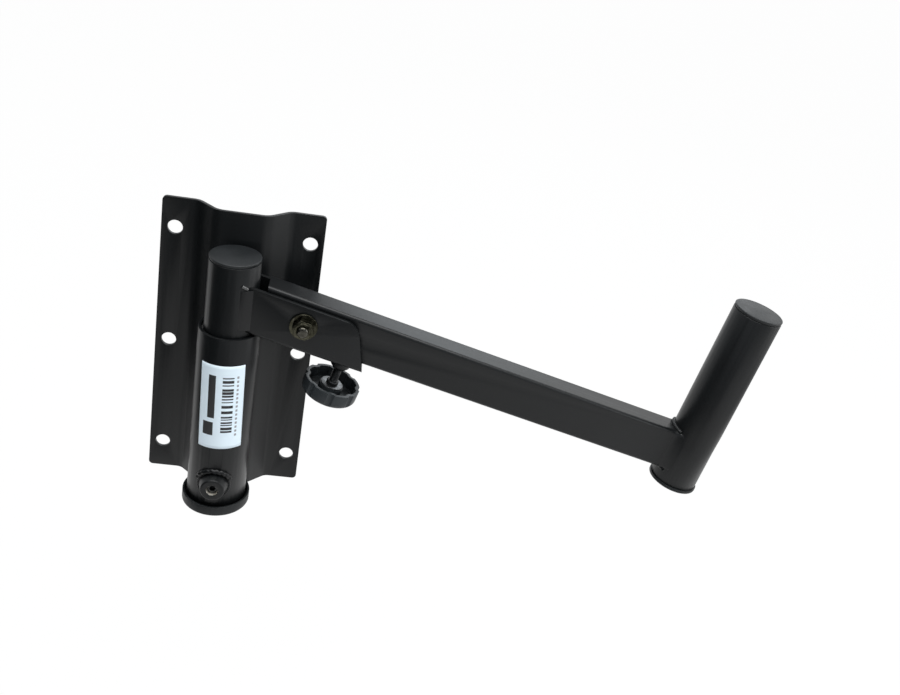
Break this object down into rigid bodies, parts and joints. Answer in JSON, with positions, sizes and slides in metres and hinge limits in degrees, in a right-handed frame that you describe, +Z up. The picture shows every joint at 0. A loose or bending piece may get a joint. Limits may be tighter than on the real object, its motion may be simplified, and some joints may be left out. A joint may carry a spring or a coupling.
{
  "type": "speaker wall bracket",
  "caption": "Loudspeaker wall bracket: pressed wall plate, upright tube with a turning post, sloping arm that tilts on a knob screw, and an upright round pin at the arm's end.",
  "frame": {"origin": "middle of the six wall holes, on the back face of the wall plate", "axes": "+Z up, -Y out of the wall, +X along the arm at rest, seen from above"},
  "size_m": [0.4337, 0.068, 0.22],
  "materials": {
    "black_coat": "satin black powder coat",
    "black_plastic": "moulded black plastic",
    "dark_zinc": "dark zinc plate",
    "bare_steel": "machined",
    "bush_plastic": "smooth",
    "sticker": "glossy film"
  },
  "bodies": {
    "wall_bracket": {"wall_plate": "black_coat", "wall_tube": "black_coat", "tube_welds": "black_coat", "base_disc": "black_coat", "foot_cap": "black_plastic", "lower_bush": "bush_plastic", "upper_bush": "bush_plastic", "lock_boss": "black_coat", "boss_weld": "black_coat", "label": "sticker"},
    "grub_screw": {"lock_screw": "bare_steel"},
    "swivel": {"swivel_post": "black_coat", "post_cap": "black_plastic", "clevis": "black_coat", "clevis_welds": "black_coat", "screw_boss": "black_coat", "pivot_bolt": "dark_zinc", "pivot_washers": "dark_zinc", "pivot_nut": "dark_zinc"},
    "arm": {"arm_tube": "black_coat", "pivot_sleeve": "bare_steel", "speaker_pin": "black_coat", "pin_welds": "black_coat", "pin_top_cap": "black_plastic", "pin_bottom_cap": "black_plastic"},
    "screw": {"tilt_screw": "dark_zinc"},
    "knob": {"tilt_knob": "black_plastic", "knob_insert": "bare_steel"}
  },
  "joints": [
    {"name": "swivel_turn", "type": "hinge", "parent": "wall_bracket", "child": "swivel", "pos_m": [0, -0.0405, 0.06], "axis": [0, 0, 1], "range_deg": [-183, 3]},
    {"name": "arm_tilt", "type": "hinge", "parent": "swivel", "child": "arm", "pos_m": [0.04968, -0.0405, 0.05038], "axis": [0, -1, 0], "range_deg": [0, 14]},
    {"name": "screw_travel", "type": "slide", "parent": "swivel", "child": "screw", "axis": [0.2419, 0, 0.9703], "range_m": [0, 0.00817]},
    {"name": "knob_turn", "type": "hinge", "parent": "screw", "child": "knob", "pos_m": [0.07304, -0.0405, -0.00059], "axis": [0.2419, 0, 0.9703], "range_deg": [0, 2930]},
    {"name": "grub_screw_travel", "type": "slide", "parent": "wall_bracket", "child": "grub_screw", "axis": [0, -1, 0], "range_m": [0, 0.005]}
  ],
  "couplings": [
    {"joint": "screw_travel", "follows": "knob_turn", "m_per_rad": 0.00015915},
    {"joint": "arm_tilt", "follows": "knob_turn", "ratio": 0.0047658}
  ]
}
